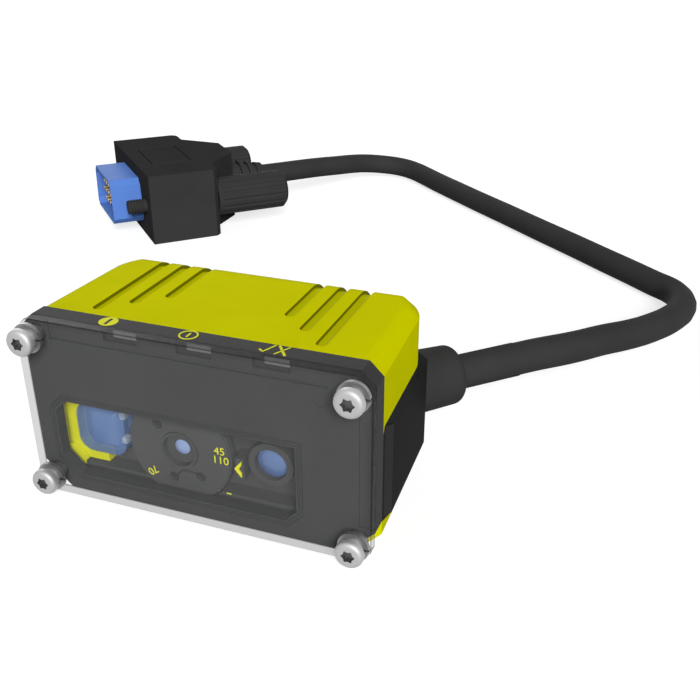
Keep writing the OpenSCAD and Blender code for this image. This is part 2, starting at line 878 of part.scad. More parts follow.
module cable_gland() {
    end_r = gland_d / 2 - gland_taper;
    end_h = gland_len - gland_round;
    color([0.09, 0.09, 0.09]) place() at_gland() rotate_extrude() difference() {
        union() {
            translate([0, -stem_len]) square([stem_r, stem_len + eps]);
            polygon([[0, 0], [gland_d / 2, 0], [end_r, end_h], [0, end_h]]);
            square([end_r - gland_round, gland_len]);
            translate([end_r - gland_round, end_h]) circle(gland_round);
        }
        translate([0, -stem_len - 1]) square([sleeve_d / 2 + fit, stem_len + gland_len + 2]);
    }
}

module cord_sleeve() {
    color([0.12, 0.12, 0.12]) place() at_gland() translate([0, 0, -stem_len])
        cylinder(d = sleeve_d, h = stem_len + sleeve_len);
}

module cord() {
    n = len(route);
    m = cord_sides;
    pts = [for (i = [0 : n - 1]) each ring(i)];
    walls = [for (i = [0 : n - 2], k = [0 : m - 1])
        [i * m + k, (i + 1) * m + k, (i + 1) * m + (k + 1) % m, i * m + (k + 1) % m]];
    first = [for (k = [0 : m - 1]) k];
    last = [for (k = [0 : m - 1]) n * m - 1 - k];
    color([0.1, 0.1, 0.1]) polyhedron(pts, concat([first], walls, [last]), convexity = 8);
}

// Places a piece drawn along x from the mating face of the plug
module at_plug() {
    translate([plug_at[0], plug_at[1], hood_h / 2]) rotate([0, 0, plug_turn]) children();
}

// Round bar along x
module bar(y, r, x0, x1) {
    translate([x0, y, 0]) rotate([0, 90, 0]) cylinder(r = r, h = x1 - x0);
}

// Outline of the plug shell, wide side down
module shell_shape(inset) {
    w = shell_w / 2 - inset;
    h = shell_h / 2 - inset;
    t = shell_round;
    top = w - shell_lean;
    polygon([[t - w, -h], [w - t, -h], [w, t - h], [top, h - t], [top - t, h],
        [t - top, h], [-top, h - t], [-w, t - h]]);
}

// Gives a shape drawn in y and z a length along x
module along_x(x0, x1) {
    translate([x0, 0, 0]) rotate([90, 0, 90]) linear_extrude(x1 - x0) children();
}

// Outline of the label field, moved in by an even amount
module label_shape(inset) {
    translate([label_x[0] + inset, inset - label_w / 2])
        square([label_x[1] - label_x[0], label_w] - 2 * [inset, inset]);
}

module connector_hood() {
    w = hood_w / 2;
    h = hood_h / 2;
    color([0.13, 0.13, 0.13]) at_plug() difference() {
        translate([0, 0, -h]) linear_extrude(hood_h)
            polygon([[0, -w], [hood_len - hood_corner, -w], [hood_len, hood_corner - w],
                [hood_len, -shoulder_root / 2], [shoulder_len, -shoulder_w / 2],
                [shoulder_len, shoulder_w / 2], [hood_len, shoulder_root / 2],
                [hood_len, w - hood_corner], [hood_len - hood_corner, w], [0, w]]);
        for (sy = [-1, 1]) {
            bar(sy * thumb_pitch / 2, thumb_bore_r, -1, hood_len + 1);
            bar(sy * thumb_pitch / 2, knob_d / 2 + knob_room, hood_len, boot_len + 1);
        }
        along_x(-1, shell_seat) shell_shape(-fit);
        bar(0, boot_stem_r + fit, shoulder_len - boot_stem, shoulder_len + 1);
        translate([0, 0, h - label_depth]) linear_extrude(1) difference() {
            label_shape(0);
            label_shape(label_line);
        }
    }
}

module connector_shell() {
    color([0.3, 0.42, 0.72]) at_plug() difference() {
        along_x(-shell_out, shell_seat) shell_shape(0);
        along_x(-shell_out - 1, shell_seat - shell_t) shell_shape(shell_t);
    }
}

module contact_block() {
    color([0.22, 0.33, 0.62]) at_plug() difference() {
        along_x(-0.8, shell_seat - shell_t) shell_shape(shell_t + fit);
        at_pins() bar(0, pin_r + fit, -2, 2);
    }
}

module at_pins() {
    for (row = [-1, 0, 1], k = [-2 : 2])
        translate([0, k * pin_pitch + (row == 0 ? 1 : -1) * pin_pitch / 4, row * pin_row]) children();
}

module contact_pins() {
    color([0.83, 0.68, 0.3]) at_plug() at_pins() bar(0, pin_r, 1 - shell_out, 2);
}

module thumbscrew(sy) {
    y = sy * thumb_pitch / 2;
    x0 = hood_len + knob_gap;
    color([0.15, 0.15, 0.15]) at_plug() {
        bar(y, thumb_thread_d / 2, -thumb_out, x0 + eps);
        difference() {
            union() {
                bar(y, knob_d / 2, x0, knob_len - knob_edge);
                translate([knob_len - knob_edge, y, 0]) rotate([0, 90, 0])
                    cylinder(r1 = knob_d / 2, r2 = knob_d / 2 - knob_edge, h = knob_edge);
            }
            for (k = [1 : knob_grooves])
                translate([0, y, 0]) rotate([360 / knob_grooves * k, 0, 0])
                    bar(knob_d / 2 + 0.3, 0.5, x0 + 1, knob_len + 1);
            box([knob_len - 1, y - knob_slot / 2, -knob_d], [knob_len + 1, y + knob_slot / 2, knob_d]);
        }
    }
}

module thumbscrew_near() {
    thumbscrew(-1);
}

module thumbscrew_far() {
    thumbscrew(1);
}

module connector_boot() {
    color([0.1, 0.1, 0.1]) at_plug() {
        bar(0, boot_stem_r, shoulder_len - boot_stem, shoulder_len + eps);
        difference() {
            translate([shoulder_len, 0, 0]) rotate([0, 90, 0])
                cylinder(r1 = boot_r1, r2 = boot_r2, h = boot_len - shoulder_len);
            for (k = [0 : 2])
                translate([shoulder_len + 2 + 2 * k, 0, 0]) rotate([0, 90, 0]) difference() {
                    cylinder(r = boot_r1 + 1, h = 0.9);
                    cylinder(r = boot_r2 - 0.3 + 0.25 * (2 - k), h = 3, center = true);
                }
        }
    }
}

front_window();
window_seal();
front_bezel();
cover_screws();
lock_washers();
light_pipe_left();
light_pipe_middle();
light_pipe_right();
indicator_board();
indicator_leds();
upper_housing();
lower_housing();
housing_gasket();
side_clip_left();
side_clip_right();
optics_plate();
focus_dial();
dial_pointer();
lens_barrel();
camera_lens();
lens_holder();
image_sensor();
sensor_board();
illumination_lens();
light_shroud();
illumination_led();
illumination_board();
aimer_ring();
aimer_lens();
aimer_led();
main_board();
board_screws();
mount_inserts();
cable_gland();
cord_sleeve();
cord();
connector_boot();
connector_hood();
connector_shell();
contact_block();
contact_pins();
thumbscrew_near();
thumbscrew_far();
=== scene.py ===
import json
import math
import bpy
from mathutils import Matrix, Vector


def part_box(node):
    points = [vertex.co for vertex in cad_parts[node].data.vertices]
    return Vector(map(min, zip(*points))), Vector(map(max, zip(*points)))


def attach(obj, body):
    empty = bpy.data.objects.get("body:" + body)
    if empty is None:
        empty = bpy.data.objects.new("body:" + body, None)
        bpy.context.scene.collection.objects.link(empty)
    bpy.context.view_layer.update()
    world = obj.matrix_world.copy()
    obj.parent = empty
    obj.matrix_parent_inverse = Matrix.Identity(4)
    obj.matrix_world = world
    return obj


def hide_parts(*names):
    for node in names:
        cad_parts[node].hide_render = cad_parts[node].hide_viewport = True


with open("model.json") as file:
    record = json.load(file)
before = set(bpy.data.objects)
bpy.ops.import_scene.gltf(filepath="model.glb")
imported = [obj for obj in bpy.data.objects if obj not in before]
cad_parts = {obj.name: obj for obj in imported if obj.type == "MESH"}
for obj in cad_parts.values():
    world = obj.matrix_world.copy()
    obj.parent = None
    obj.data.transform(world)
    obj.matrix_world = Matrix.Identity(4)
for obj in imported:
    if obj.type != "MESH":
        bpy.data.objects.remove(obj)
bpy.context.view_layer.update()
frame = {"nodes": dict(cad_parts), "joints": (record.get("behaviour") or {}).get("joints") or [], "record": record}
cadNodes = frame["nodes"]
print("frame loaded:", len(cadNodes), "nodes")

mm = 0.001
quarterTurn = math.pi / 2
faceLow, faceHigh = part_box("front_bezel")
bezelY = faceLow.y  # front face of the bezel
topZ = faceHigh.z  # top of the reader


def spot(x, y, z):  # mm, y counted from the bezel's front face
    return Vector((x * mm, bezelY + y * mm, z * mm))


def depthOf(point):  # mm behind the bezel's front face
    return (point.y - bezelY) / mm


def objectMode():
    bpy.ops.object.mode_set(mode="OBJECT")


def editMode():
    bpy.ops.object.mode_set(mode="EDIT")


def deselectAll():
    if bpy.context.mode != "OBJECT":
        objectMode()
    bpy.ops.object.select_all(action="DESELECT")


def pick(obj):
    deselectAll()
    obj.select_set(True)
    bpy.context.view_layer.objects.active = obj


def editAll(piece):
    pick(piece)
    editMode()
    bpy.ops.mesh.select_all(action="SELECT")


def applyPlace():
    bpy.ops.object.transform_apply(location=True, rotation=True, scale=True)


def nameNew(name):
    piece = bpy.context.object
    piece.name = piece.data.name = name
    return piece


def boxPiece(name, low, high):
    deselectAll()
    bpy.ops.mesh.primitive_cube_add(size=1, location=(low + high) / 2)
    piece = nameNew(name)
    piece.scale = high - low
    applyPlace()
    return piece


def barAlongY(radius, length, middle):
    deselectAll()
    bpy.ops.mesh.primitive_cylinder_add(
        vertices=32, radius=radius * mm, depth=length * mm, location=middle,
        rotation=(quarterTurn, 0, 0),
    )
    return bpy.context.object


def editSelect(piece, mode):
    pick(piece)
    editMode()
    bpy.ops.mesh.select_mode(type=mode)
    bpy.ops.mesh.select_all(action="DESELECT")
    objectMode()


def selectEdges(piece, wanted):
    editSelect(piece, "EDGE")
    for edge in piece.data.edges:
        ends = [piece.data.vertices[v].co for v in edge.vertices]
        edge.select = wanted(ends[0], ends[1])
    editMode()


def selectFaces(piece, wanted):
    editSelect(piece, "FACE")
    for face in piece.data.polygons:
        face.select = wanted(face.center, face.normal)
    editMode()


def runsAlongY(a, b):
    return abs(a.y - b.y) > 0.5 * mm


def facesForward(centre, normal):
    return normal.y < -0.9


def applyModifier(piece, kind, **settings):
    pick(piece)
    modifier = piece.modifiers.new(kind.lower(), kind)
    for key, value in settings.items():
        setattr(modifier, key, value)
    bpy.ops.object.modifier_apply(modifier=modifier.name)


def easeEdges(piece, width, segments):
    applyModifier(piece, "BEVEL", width=width * mm, segments=segments, limit_method="ANGLE")


def insetStep(border, shift):  # insets the picked faces and moves them along y, mm
    bpy.ops.mesh.inset(thickness=border * mm)
    bpy.ops.transform.translate(value=(0, shift * mm, 0))


def cutBy(piece, cutter, operation="DIFFERENCE"):
    applyModifier(piece, "BOOLEAN", operation=operation, solver="EXACT", object=cutter)
    bpy.data.objects.remove(cutter)


def joinPieces(name, pieces):
    deselectAll()
    for piece in pieces:
        piece.select_set(True)
    bpy.context.view_layer.objects.active = pieces[0]
    bpy.ops.object.join()
    return nameNew(name)


def smoothLine(curve, points):
    line = curve.splines.new("BEZIER")
    line.bezier_points.add(len(points) - 1)
    for bezierPoint, place in zip(line.bezier_points, points):
        bezierPoint.co = place
        bezierPoint.handle_left_type = bezierPoint.handle_right_type = "AUTO"


def settle(piece, skin, body, smooth=35):
    pick(piece)
    bpy.ops.object.shade_smooth_by_angle(angle=math.radians(smooth))
    piece.data.materials.clear()
    piece.data.materials.append(skin)
    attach(piece, body)


def coatFaces(piece, skin, wanted):  # a second finish on some faces of a piece
    piece.data.materials.append(skin)
    selectFaces(piece, wanted)
    piece.active_material_index = len(piece.data.materials) - 1
    bpy.ops.object.material_slot_assign()
    objectMode()


# camera as the photograph was taken
cameraSetup = {
    "place": (46.66, -88.70, 65.96),  # mm
    "tilt": 63.416, "turn": 20.185,  # degrees
    "lens": 46.29, "sensor": 36,
    "near": 0.002, "far": 20,  # m
}
bpy.ops.object.camera_add(
    location=[v * mm for v in cameraSetup["place"]],
    rotation=(math.radians(cameraSetup["tilt"]), 0, math.radians(cameraSetup["turn"])),
)
camera = bpy.context.object
camera.name = "photoCamera"
camera.data.lens = cameraSetup["lens"]
camera.data.sensor_width = cameraSetup["sensor"]
camera.data.clip_start = cameraSetup["near"]
camera.data.clip_end = cameraSetup["far"]
bpy.context.scene.camera = camera
bpy.context.scene.view_settings.view_transform = "Standard"
print("camera set")

# materials
skinSetup = {"cloud": 140, "ends": (0.3, 0.7), "spread": 0.07, "relief": 0.00005}


def grey(level):
    return (level, level, level)


def nodeTree(name):
    skin = bpy.data.materials.new(name)
    skin.use_nodes = True
    return skin, skin.node_tree.nodes, skin.node_tree.links


def objectNoise(nodes, links, scale, detail=3.0):
    place = nodes.new("ShaderNodeTexCoord")
    noise = nodes.new("ShaderNodeTexNoise")
    noise.inputs["Scale"].default_value = scale
    noise.inputs["Detail"].default_value = detail
    links.new(place.outputs["Object"], noise.inputs["Vector"])
    return noise


def mouldedSkin(name, colour, rough, shade=0.06, grain=4200, bump=0.04, specular=0.01, metal=0.0):
    skin, nodes, links = nodeTree(name)
    shader = nodes["Principled BSDF"]
    cloud = objectNoise(nodes, links, skinSetup["cloud"])  # slow colour change over the moulding
    ramp = nodes.new("ShaderNodeValToRGB")
    ends = zip(ramp.color_ramp.elements, skinSetup["ends"], (1 - shade, 1 + shade))
    for end, position, factor in ends:
        end.position = position
        end.color = [min(1, c * factor) for c in colour] + [1]
    links.new(cloud.outputs["Fac"], ramp.inputs["Fac"])
    links.new(ramp.outputs["Color"], shader.inputs["Base Color"])
    fine = objectNoise(nodes, links, grain, 2.0)  # spark-eroded grain
    spread = nodes.new("ShaderNodeMapRange")
    spread.inputs["To Min"].default_value = max(0.05, rough - skinSetup["spread"])
    spread.inputs["To Max"].default_value = min(1.0, rough + skinSetup["spread"])
    links.new(fine.outputs["Fac"], spread.inputs["Value"])
    links.new(spread.outputs["Result"], shader.inputs["Roughness"])
    relief = nodes.new("ShaderNodeBump")
    relief.inputs["Strength"].default_value = bump
    relief.inputs["Distance"].default_value = skinSetup["relief"]
    links.new(fine.outputs["Fac"], relief.inputs["Height"])
    links.new(relief.outputs["Normal"], shader.inputs["Normal"])
    shader.inputs["Specular IOR Level"].default_value = specular
    shader.inputs["Metallic"].default_value = metal
    return skin


def yellowSkin(name, colour, rough=0.6, bump=0.05, specular=0.01):
    return mouldedSkin(name, colour, rough, shade=0.03, bump=bump, specular=specular)


def glassSkin(name, colour, rough, shade, specular=0.5):
    return mouldedSkin(name, colour, rough, shade, grain=500, bump=0.01, specular=specular)


def clearSkin(name, colour, alpha, rough=0.04, specular=0.5):
    skin = glassSkin(name, colour, rough + skinSetup["spread"], 0.03, specular)
    skin.node_tree.nodes["Principled BSDF"].inputs["Alpha"].default_value = alpha
    return skin


def metalSkin(name, colour, rough):
    return mouldedSkin(name, colour, rough, grain=3000, specular=0.5, metal=1.0)


finishes = {
    "housing_yellow": yellowSkin("satinYellow", (0.72, 0.72, 0.0), rough=0.65, specular=0.002),
    "housing_black": mouldedSkin("mattBlack", grey(0.014), 0.65),
    "bezel_grey": mouldedSkin("bezelGrey", grey(0.048), 0.65, shade=0.04, specular=0.05),
    "clip_grey": mouldedSkin("clipGrey", grey(0.03), 0.6),
    # painted light: the optics black is lightened to a dark grey, so the plate and barrels in the shade behind the
    # bezel read as lit
    "optics_black": mouldedSkin("opticsBlack", grey(0.075), 0.6),
    "dial_grey": mouldedSkin("dialGrey", grey(0.078), 0.6),
    "mark_yellow": yellowSkin("markYellow", (0.85, 0.85, 0.02), bump=0.02, specular=0.04),
    "window_clear": clearSkin("clearWindow", (0.8, 0.82, 0.84), 0.025),
    "pipe_clear": mouldedSkin(
        "smokyPipe", (0.16, 0.16, 0.165), 0.3, shade=0.04, grain=900, bump=0.01, specular=0.3
    ),
    "lens_glass": glassSkin("coatedGlass", (0.25, 0.35, 0.6), 0.12, 0.05),
    "lens_blue": glassSkin("blueLens", (0.1, 0.18, 0.38), 0.18, 0.06),
    "rubber_black": mouldedSkin("softRubber", grey(0.043), 0.75, shade=0.08, grain=2600, bump=0.06),
    "cord_black": mouldedSkin("cordJacket", grey(0.042), 0.6, grain=2400, bump=0.05),
    "gland_black": mouldedSkin("glandBlack", grey(0.042), 0.65),
    "hood_black": mouldedSkin("hoodBlack", grey(0.042), 0.85, specular=0.0),
    "knob_black": mouldedSkin("knobBlack", grey(0.042), 0.6),
    "shell_blue": mouldedSkin("shellBlue", (0.11, 0.24, 0.68), 0.45, shade=0.05),
    "insulator_blue": mouldedSkin("insulatorBlue", (0.07, 0.15, 0.42), 0.55, shade=0.05),
    "screw_steel": metalSkin("screwSteel", grey(0.46), 0.62),
    "washer_steel": metalSkin("washerSteel", grey(0.3), 0.5),
    "insert_brass": metalSkin("insertBrass", (0.72, 0.5, 0.2), 0.4),
    "pin_gold": metalSkin("pinGold", (0.8, 0.58, 0.2), 0.35),
    "board_green": mouldedSkin("boardGreen", (0.02, 0.16, 0.07), 0.45, shade=0.1),
    "led_white": mouldedSkin("ledWhite", (0.8, 0.8, 0.74), 0.4, shade=0.04),
    "chip_dark": mouldedSkin("chipDark", (0.05, 0.05, 0.08), 0.25, shade=0.05),
}
for part in frame["record"]["subparts"]:
    obj = cadNodes[part["node"]]
    if not obj.material_slots:
        obj.data.materials.append(None)
    for materialSlot in obj.material_slots:
        materialSlot.material = finishes[part["material_slot"]]
print("finishes given to all nodes")

# cord, on the same route as its solid
cordSetup = {
    "diameter": 4.7,
    "sleeveEnd": (29.451, 25.029, 8.1),
    "bootEnd": (-45.933, 101.567, 7.35),
    "lead": 2.1213,  # straight start and end, along both axes
    "route": [
        (36.5, 32.5, 7.7), (40, 38, 6.9), (44, 44.5, 5.7), (47.2, 51, 4.6), (49.8, 57.5, 3.7),
        (51.2, 63, 3.1), (51.2, 68, 2.7), (49.5, 72.5, 2.5), (46, 76, 2.4), (42, 79.8, 2.4),
        (36, 85.3, 2.4), (29, 91.8, 2.4), (21, 99, 2.4), (13, 106.4, 2.4), (5, 113.6, 2.4),
        (-3, 121, 2.4), (-9, 126.6, 2.4), (-14, 131.3, 2.5), (-17, 133.5, 2.7), (-20.3, 134.7, 3),
        (-23.7, 134.7, 3.3), (-26.9, 133.4, 3.7), (-29.6, 131.1, 4.2), (-31.7, 128, 4.7),
        (-34.3, 122.1, 5.5), (-37, 116.1, 6.3), (-40, 109.6, 7),
    ],
    "carries": (
        "cable_gland", "cord_sleeve", "connector_boot", "connector_hood", "connector_shell",
        "contact_block", "contact_pins", "thumbscrew_near", "thumbscrew_far",
    ),
}
leadStep = Vector((cordSetup["lead"], cordSetup["lead"], 0))
sleeveEnd, bootEnd = Vector(cordSetup["sleeveEnd"]), Vector(cordSetup["bootEnd"])
cordPoints = [sleeveEnd, sleeveEnd + leadStep]
cordPoints += [Vector(p) for p in cordSetup["route"]]
cordPoints += [bootEnd + leadStep, bootEnd]
cordPoints = [p * mm for p in cordPoints]
cordCurve = bpy.data.curves.new("signalCord", "CURVE")
cordCurve.dimensions = "3D"
cordCurve.bevel_depth = cordSetup["diameter"] / 2 * mm
cordCurve.bevel_resolution = 6
cordCurve.resolution_u = 8
cordCurve.use_fill_caps = True
smoothLine(cordCurve, cordPoints)
signalCord = bpy.data.objects.new("signalCord", cordCurve)
bpy.context.collection.objects.link(signalCord)
cordCurve.materials.append(finishes["cord_black"])
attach(signalCord, "reader")
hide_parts("cord")
bpy.context.view_layer.update()
cordPieces = [cadNodes[n] for n in cordSetup["carries"]]

# clear window plate with frosted sawn edges
paneSetup = {
    "corner": 1.6, "hole": 1.1, "ease": 0.12,
    "off": 0.05,  # just clear of the bezel, so no two faces coincide
    "drill": (6, -0.7),  # length and middle of the hole cutter
    "flat": 0.9, "sawn": 0.3,  # how far a face looks along y
}
screwX, lowZ, highZ = 19.8, 2.3, 21.2  # mm, the four cover screws
screwPlaces = [(x, z) for x in (-screwX, screwX) for z in (lowZ, highZ)]
paneLow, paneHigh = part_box("front_window")
paneBack = paneHigh.y - paneSetup["off"] * mm
clearPane = boxPiece("clearPane", paneLow, Vector((paneHigh.x, paneBack, paneHigh.z)))
selectEdges(clearPane, runsAlongY)
bpy.ops.mesh.bevel(offset=paneSetup["corner"] * mm, segments=1)
objectMode()
drillLength, drillMiddle = paneSetup["drill"]
for x, z in screwPlaces:
    cutBy(clearPane, barAlongY(paneSetup["hole"], drillLength, spot(x, drillMiddle, z)))
easeEdges(clearPane, paneSetup["ease"], 1)
settle(clearPane, finishes["window_clear"], "reader")
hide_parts("front_window")
coatFaces(
    clearPane, clearSkin("frostedEdge", grey(0.035), 0.36, 0.3, 0.05),
    lambda c, n: abs(n.y) < paneSetup["flat"],
)
coatFaces(
    clearPane, clearSkin("edgeLine", grey(0.03), 0.6, 0.3, 0.05),
    lambda c, n: paneSetup["sawn"] < abs(n.y) < paneSetup["flat"],
)
print("window plate made")

# cap with the soft edges of its moulding: a copy trimmed by a rounded envelope
capSetup = {
    "front": -1.0, "rear": 23.2, "low": -1.0,
    "clear": 0.03,  # mm, the envelope stands clear of the flats
    "half": 21.75, "halfAt": 2.3, "draft": 2.4,
    "corner": 6.713, "chamfer": 1.6, "upper": 1.1, "lower": 0.3,
    "smooth": 28,
}


def capSide(y):  # half width of the cap, mm
    return capSetup["half"] - math.tan(math.radians(capSetup["draft"])) * (y - capSetup["halfAt"])


def nearTo(level, *values):
    return all(abs(value - level) < 0.01 * mm for value in values)


frontSide, rearSide = capSide(capSetup["front"]), capSide(capSetup["rear"])
clear = capSetup["clear"]
trimHigh = spot(frontSide + clear, capSetup["rear"] + clear, topZ / mm + clear)
trimLow = spot(-frontSide - clear, capSetup["front"], capSetup["low"])
capTrim = boxPiece("capTrim", trimLow, trimHigh)
selectFaces(capTrim, lambda c, n: n.y > 0.9)
bpy.ops.transform.resize(value=((rearSide + clear) / (frontSide + clear), 1, 1))
selectEdges(capTrim, lambda a, b: nearTo(trimHigh.y, a.y, b.y) and abs(a.z - b.z) > mm)
bpy.ops.mesh.bevel(offset=capSetup["corner"] * mm, segments=28)


def bevelRing(height, width, segments):  # edges all round at one height, but for the front
    selectEdges(
        capTrim, lambda a, b: nearTo(height, a.z, b.z) and not nearTo(trimLow.y, a.y, b.y)
    )
    bpy.ops.mesh.bevel(offset=width * mm, segments=segments)
    objectMode()


bevelRing(trimHigh.z, capSetup["chamfer"], 1)
bevelRing(trimHigh.z, capSetup["upper"], 6)
bevelRing(trimHigh.z - capSetup["chamfer"] * mm, capSetup["lower"], 3)


def mergedCopy(name, node):
    copy = bpy.data.objects.new(name, cadNodes[node].data.copy())
    copy.data.name = name
    bpy.context.collection.objects.link(copy)
    pick(copy)
    bpy.ops.mesh.customdata_custom_splitnormals_clear()
    editAll(copy)
    bpy.ops.mesh.remove_doubles(threshold=0.002 * mm)
    objectMode()
    return copy


softCap = mergedCopy("softCap", "upper_housing")
cutBy(softCap, capTrim, "INTERSECT")
settle(softCap, finishes["housing_yellow"], "reader", capSetup["smooth"])
applyModifier(softCap, "WEIGHTED_NORMAL", keep_sharp=True)
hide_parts("upper_housing")

# grooves in painted shade, a darker floor and a much darker wall, and the dark sill that shows through the
# aperture
grooveSetup = {
    "places": (7.8, 10.9, 14.0), "half": 0.67, "round": 4.6,
    "depths": (0.02, 0.47),  # below the cap's outer face
}
sillSetup = {"half": 13, "top": 2.3, "depths": (2.35, 5.6), "upward": 0.2}


def inGroove(point):
    if min(abs(abs(point.x) / mm - place) for place in grooveSetup["places"]) > grooveSetup["half"]:
        return False
    overY = max(0, depthOf(point) - capSetup["rear"] + grooveSetup["round"])
    overZ = max(0, (point.z - topZ) / mm + grooveSetup["round"])
    shallow, deep = grooveSetup["depths"]
    return shallow < grooveSetup["round"] - math.hypot(overY, overZ) < deep


def onSill(centre, normal):
    front, rear = sillSetup["depths"]
    within = abs(centre.x) < sillSetup["half"] * mm and centre.z < sillSetup["top"] * mm
    return within and front < depthOf(centre) < rear and normal.z > sillSetup["upward"]


# painted shade: the groove floors a little darker than the cap, the groove walls much darker
coatFaces(
    softCap, yellowSkin("paintedShadeGrooveFloor", (0.62, 0.62, 0.0)),
    lambda c, n: inGroove(c) and abs(n.x) < 0.5,
)
coatFaces(
    softCap, yellowSkin("paintedShadeGrooveWall", (0.2, 0.2, 0.0)),
    lambda c, n: inGroove(c) and abs(n.x) >= 0.5,
)
coatFaces(softCap, finishes["optics_black"], onSill)
print("cap edges softened:", len(softCap.data.polygons), "faces")

# dark strip that closes the joint below the aperture
sealSetup = {"low": (-18.4, 2.18, 1.75), "high": (12.4, 2.3, 2.14), "ease": 0.04}
sillSeal = boxPiece("sillSeal", spot(*sealSetup["low"]), spot(*sealSetup["high"]))
easeEdges(sillSeal, sealSetup["ease"], 2)
settle(sillSeal, finishes["rubber_black"], "reader")

# web in the corner between the cable block and the rear wall, over the cord's bore
webSetup = {"low": (8.8, 22.9, 1.6), "high": (12.5, 26.6, 13.9), "ease": 0.3}
cableWeb = boxPiece("cableWeb", spot(*webSetup["low"]), spot(*webSetup["high"]))
editAll(cableWeb)
bpy.ops.mesh.bisect(
    plane_co=spot(*webSetup["low"]), plane_no=(-1, 1, 0), use_fill=True, clear_outer=True
)
objectMode()
easeEdges(cableWeb, webSetup["ease"], 3)
settle(cableWeb, finishes["housing_black"], "reader")
print("sill and cable corner closed")

# pan-head screws, turned from a disc and pressed with a six-lobed recess
screwSetup = {
    "turning": [  # radius and distance from the bezel's front, mm
        (1.15, -3.6), (1.38, -3.55), (1.55, -3.44), (1.65, -3.28), (1.68, -3.1), (1.68, -2.72),
        (1.6, -2.64), (1.25, -2.64), (1.25, -1.92), (1.0, -1.9), (1.0, 5.4), (0.7, 5.7),
    ],
    "lobe": 0.86, "waist": 0.6, "soft": 0.1, "recess": 0.7,
    "shaded": (-3.59, -2.85), "shadedIn": 0.9,  # painted shade: the recess faces here take a darker metal
}


def turnedPiece(name, turning):
    deselectAll()
    radius, place = turning[0]
    bpy.ops.mesh.primitive_circle_add(
        vertices=48, radius=radius * mm, fill_type="NGON", location=spot(0, place, 0),
        rotation=(quarterTurn, 0, 0),
    )
    piece = nameNew(name)
    applyPlace()
    editAll(piece)
    for (oldRadius, oldPlace), (radius, place) in zip(turning, turning[1:]):
        step = (0, (place - oldPlace) * mm, 0)
        bpy.ops.mesh.extrude_region_move(TRANSFORM_OT_translate={"value": step})
        bpy.ops.transform.resize(value=(radius / oldRadius, 1, radius / oldRadius))
    bpy.ops.mesh.select_all(action="SELECT")
    bpy.ops.mesh.normals_make_consistent(inside=False)
    objectMode()
    return piece


def inRecess(centre, normal):
    front, rear = screwSetup["shaded"]
    across = abs(centre.x) - screwX * mm
    up = min(abs(centre.z - lowZ * mm), abs(centre.z - highZ * mm))
    return front < depthOf(centre) < rear and math.hypot(across, up) < screwSetup["shadedIn"] * mm


panScrew = turnedPiece("panScrew", screwSetup["turning"])
deselectAll()
bpy.ops.mesh.primitive_circle_add(
    vertices=12, radius=screwSetup["lobe"] * mm, fill_type="NGON", rotation=(quarterTurn, 0, 0)
)
star = bpy.context.object
applyPlace()
editSelect(star, "VERT")
for vertex in star.data.vertices:  # every second corner is drawn in
    vertex.select = round(math.degrees(math.atan2(vertex.co.z, vertex.co.x)) / 30) % 2 == 1
editMode()
waist = screwSetup["waist"] / screwSetup["lobe"]
bpy.ops.transform.resize(value=(waist, 1, waist))
bpy.ops.mesh.select_all(action="SELECT")
bpy.ops.mesh.bevel(offset=screwSetup["soft"] * mm, segments=4, affect="VERTICES")
objectMode()
applyModifier(star, "SOLIDIFY", thickness=2 * screwSetup["recess"] * mm, offset=0)
star.location = spot(0, screwSetup["turning"][0][1], 0)
applyPlace()
cutBy(panScrew, star)
panScrews = []
for x, z in screwPlaces:
    pick(panScrew)
    bpy.ops.object.duplicate(linked=False)
    copy = bpy.context.object
    copy.location = (x * mm, 0, z * mm)
    applyPlace()
    panScrews.append(copy)
bpy.data.objects.remove(panScrew)
panScrews = joinPieces("panScrews", panScrews)
settle(panScrews, finishes["screw_steel"], "reader", 30)
# painted shade in the six-lobed recesses of the heads
coatFaces(panScrews, metalSkin("recessShade", grey(0.16), 0.6), inRecess)
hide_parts("cover_screws")
print("screws turned:", len(panScrews.data.polygons), "faces")

# marks printed on the bezel top
markSetup = {
    "thick": 0.04, "ease": 0.01,
    "disc": (-10.6, 1.15), "ring": (-0.4, 1.15), "radius": 1.12, "line": 0.2,
    "slot": (0.8, 0.4), "pin": (0.5, 0.22),  # half length and width
    "cutter": 4,  # thickness of the slot's cutter, in marks
    "tick": [(8.3, 0.78, 8.88, 0.26, 0.24), (8.84, 0.22, 9.65, 2.15, 0.18)],
    "cross": [(10.06, 2.15, 11.5, 0.14, 0.3), (10.25, 0.14, 11.3, 2.15, 0.16)],
}
markZ = topZ / mm + markSetup["thick"] / 2


def printedDisc(name, x, y):
    deselectAll()
    bpy.ops.mesh.primitive_cylinder_add(
        vertices=48, radius=markSetup["radius"] * mm, depth=markSetup["thick"] * mm,
        location=spot(x, y, markZ),
    )
    disc = nameNew(name)
    applyPlace()
    return disc


def printedBar(x0, y0, x1, y1, width, thick=1.0):
    low, high = spot(x0, y0, markZ), spot(x1, y1, markZ)
    run = high - low
    deselectAll()
    bpy.ops.mesh.primitive_cube_add(
        size=1, location=(low + high) / 2, rotation=(0, 0, math.atan2(run.y, run.x))
    )
    bar = bpy.context.object
    bar.scale = (run.length, width * mm, thick * markSetup["thick"] * mm)
    applyPlace()
    return bar


def easeMark(mark):
    easeEdges(mark, markSetup["ease"], 1)
    settle(mark, finishes["mark_yellow"], "reader")


x, y = markSetup["disc"]
half, width = markSetup["slot"]
powerMark = printedDisc("powerMark", x, y)
cutBy(powerMark, printedBar(x, y - half, x, y + half, width, markSetup["cutter"]))
easeMark(powerMark)

